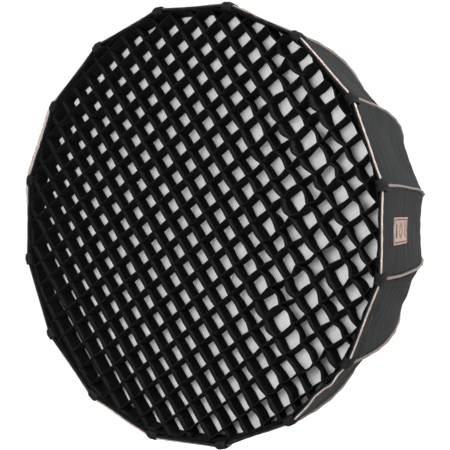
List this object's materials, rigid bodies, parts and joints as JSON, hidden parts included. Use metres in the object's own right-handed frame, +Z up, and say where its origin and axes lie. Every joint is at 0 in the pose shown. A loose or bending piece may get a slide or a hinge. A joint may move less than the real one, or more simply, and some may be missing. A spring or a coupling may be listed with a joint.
{
  "type": "octabox softbox",
  "caption": "Deep round folding softbox with spring rods, black cloth shell with rose-gold bindings, white front diffuser and black egg-crate grid, on a bayonet lamp mount.",
  "frame": {"origin": "on the lamp axis, in the flange face of the bayonet ring that seats on the lamp", "axes": "+Y points to the lamp, so the front faces -Y; +Z is up and +X is to the right as seen from the front"},
  "size_m": [0.8926, 0.6242, 0.8926],
  "materials": {
    "moulded_black": "matte",
    "steel": "satin",
    "black_steel": "satin",
    "cast_aluminium": "satin",
    "black_webbing": "matte",
    "black_shell_cloth": "matte",
    "rose_gold_tape": "satin",
    "white_diffusion_cloth": "matte",
    "black_grid_cloth": "matte",
    "painted_rod": "satin"
  },
  "bodies": {
    "hub": {"hub_rear": "moulded_black", "hub_front": "moulded_black", "hinge_pins": "steel", "detent_springs": "steel", "hub_screws": "black_steel", "bayonet_ring": "cast_aluminium", "mount_screws": "black_steel", "rear_cuff": "black_webbing", "outer_shell": "black_shell_cloth", "rim_band": "black_webbing", "seam_tape": "rose_gold_tape", "corner_pockets": "black_webbing", "rim_piping": "rose_gold_tape", "label_patch": "rose_gold_tape"},
    "rod_arm_01": {"rod_01": "painted_rod", "rod_base_01": "moulded_black"},
    "rod_arm_02": {"rod_02": "painted_rod", "rod_base_02": "moulded_black"},
    "rod_arm_03": {"rod_03": "painted_rod", "rod_base_03": "moulded_black"},
    "rod_arm_04": {"rod_04": "painted_rod", "rod_base_04": "moulded_black"},
    "rod_arm_05": {"rod_05": "painted_rod", "rod_base_05": "moulded_black"},
    "rod_arm_06": {"rod_06": "painted_rod", "rod_base_06": "moulded_black"},
    "rod_arm_07": {"rod_07": "painted_rod", "rod_base_07": "moulded_black"},
    "rod_arm_08": {"rod_08": "painted_rod", "rod_base_08": "moulded_black"},
    "rod_arm_09": {"rod_09": "painted_rod", "rod_base_09": "moulded_black"},
    "rod_arm_10": {"rod_10": "painted_rod", "rod_base_10": "moulded_black"},
    "rod_arm_11": {"rod_11": "painted_rod", "rod_base_11": "moulded_black"},
    "rod_arm_12": {"rod_12": "painted_rod", "rod_base_12": "moulded_black"},
    "rod_arm_13": {"rod_13": "painted_rod", "rod_base_13": "moulded_black"},
    "rod_arm_14": {"rod_14": "painted_rod", "rod_base_14": "moulded_black"},
    "rod_arm_15": {"rod_15": "painted_rod", "rod_base_15": "moulded_black"},
    "rod_arm_16": {"rod_16": "painted_rod", "rod_base_16": "moulded_black"},
    "front_diffuser_set": {"front_diffuser": "white_diffusion_cloth", "diffuser_border": "black_webbing"},
    "grid_set": {"grid": "black_grid_cloth", "grid_border": "black_webbing"}
  },
  "joints": [
    {"name": "rod_fold_01", "type": "hinge", "parent": "hub", "child": "rod_arm_01", "pos_m": [0.09023, -0.01874, 0.01795], "axis": [0.1951, 0, -0.9808], "range_deg": [0, 36]},
    {"name": "rod_fold_02", "type": "hinge", "parent": "hub", "child": "rod_arm_02", "pos_m": [0.07649, -0.01874, 0.05111], "axis": [0.5556, 0, -0.8315], "range_deg": [0, 36]},
    {"name": "rod_fold_03", "type": "hinge", "parent": "hub", "child": "rod_arm_03", "pos_m": [0.05111, -0.01874, 0.07649], "axis": [0.8315, 0, -0.5556], "range_deg": [0, 36]},
    {"name": "rod_fold_04", "type": "hinge", "parent": "hub", "child": "rod_arm_04", "pos_m": [0.01795, -0.01874, 0.09023], "axis": [0.9808, 0, -0.1951], "range_deg": [0, 36]},
    {"name": "rod_fold_05", "type": "hinge", "parent": "hub", "child": "rod_arm_05", "pos_m": [-0.01795, -0.01874, 0.09023], "axis": [0.9808, 0, 0.1951], "range_deg": [0, 36]},
    {"name": "rod_fold_06", "type": "hinge", "parent": "hub", "child": "rod_arm_06", "pos_m": [-0.05111, -0.01874, 0.07649], "axis": [0.8315, 0, 0.5556], "range_deg": [0, 36]},
    {"name": "rod_fold_07", "type": "hinge", "parent": "hub", "child": "rod_arm_07", "pos_m": [-0.07649, -0.01874, 0.05111], "axis": [0.5556, 0, 0.8315], "range_deg": [0, 36]},
    {"name": "rod_fold_08", "type": "hinge", "parent": "hub", "child": "rod_arm_08", "pos_m": [-0.09023, -0.01874, 0.01795], "axis": [0.1951, 0, 0.9808], "range_deg": [0, 36]},
    {"name": "rod_fold_09", "type": "hinge", "parent": "hub", "child": "rod_arm_09", "pos_m": [-0.09023, -0.01874, -0.01795], "axis": [-0.1951, 0, 0.9808], "range_deg": [0, 36]},
    {"name": "rod_fold_10", "type": "hinge", "parent": "hub", "child": "rod_arm_10", "pos_m": [-0.07649, -0.01874, -0.05111], "axis": [-0.5556, 0, 0.8315], "range_deg": [0, 36]},
    {"name": "rod_fold_11", "type": "hinge", "parent": "hub", "child": "rod_arm_11", "pos_m": [-0.05111, -0.01874, -0.07649], "axis": [-0.8315, 0, 0.5556], "range_deg": [0, 36]},
    {"name": "rod_fold_12", "type": "hinge", "parent": "hub", "child": "rod_arm_12", "pos_m": [-0.01795, -0.01874, -0.09023], "axis": [-0.9808, 0, 0.1951], "range_deg": [0, 36]},
    {"name": "rod_fold_13", "type": "hinge", "parent": "hub", "child": "rod_arm_13", "pos_m": [0.01795, -0.01874, -0.09023], "axis": [-0.9808, 0, -0.1951], "range_deg": [0, 36]},
    {"name": "rod_fold_14", "type": "hinge", "parent": "hub", "child": "rod_arm_14", "pos_m": [0.05111, -0.01874, -0.07649], "axis": [-0.8315, 0, -0.5556], "range_deg": [0, 36]},
    {"name": "rod_fold_15", "type": "hinge", "parent": "hub", "child": "rod_arm_15", "pos_m": [0.07649, -0.01874, -0.05111], "axis": [-0.5556, 0, -0.8315], "range_deg": [0, 36]},
    {"name": "rod_fold_16", "type": "hinge", "parent": "hub", "child": "rod_arm_16", "pos_m": [0.09023, -0.01874, -0.01795], "axis": [-0.1951, 0, -0.9808], "range_deg": [0, 36]},
    {"name": "diffuser_lift", "type": "slide", "parent": "hub", "child": "front_diffuser_set", "axis": [0, -1, 0], "range_m": [0, 0.301], "deforming": ["front_diffuser", "diffuser_border"]},
    {"name": "grid_lift", "type": "slide", "parent": "front_diffuser_set", "child": "grid_set", "axis": [0, -1, 0], "range_m": [0, 0.3], "deforming": ["grid", "grid_border"]}
  ],
  "couplings": [
    {"joint": "rod_fold_02", "follows": "rod_fold_01", "ratio": 1},
    {"joint": "rod_fold_03", "follows": "rod_fold_01", "ratio": 1},
    {"joint": "rod_fold_04", "follows": "rod_fold_01", "ratio": 1},
    {"joint": "rod_fold_05", "follows": "rod_fold_01", "ratio": 1},
    {"joint": "rod_fold_06", "follows": "rod_fold_01", "ratio": 1},
    {"joint": "rod_fold_07", "follows": "rod_fold_01", "ratio": 1},
    {"joint": "rod_fold_08", "follows": "rod_fold_01", "ratio": 1},
    {"joint": "rod_fold_09", "follows": "rod_fold_01", "ratio": 1},
    {"joint": "rod_fold_10", "follows": "rod_fold_01", "ratio": 1},
    {"joint": "rod_fold_11", "follows": "rod_fold_01", "ratio": 1},
    {"joint": "rod_fold_12", "follows": "rod_fold_01", "ratio": 1},
    {"joint": "rod_fold_13", "follows": "rod_fold_01", "ratio": 1},
    {"joint": "rod_fold_14", "follows": "rod_fold_01", "ratio": 1},
    {"joint": "rod_fold_15", "follows": "rod_fold_01", "ratio": 1},
    {"joint": "rod_fold_16", "follows": "rod_fold_01", "ratio": 1},
    {"joint": "diffuser_lift", "follows": "rod_fold_01", "m_per_rad": 0.47746}
  ]
}
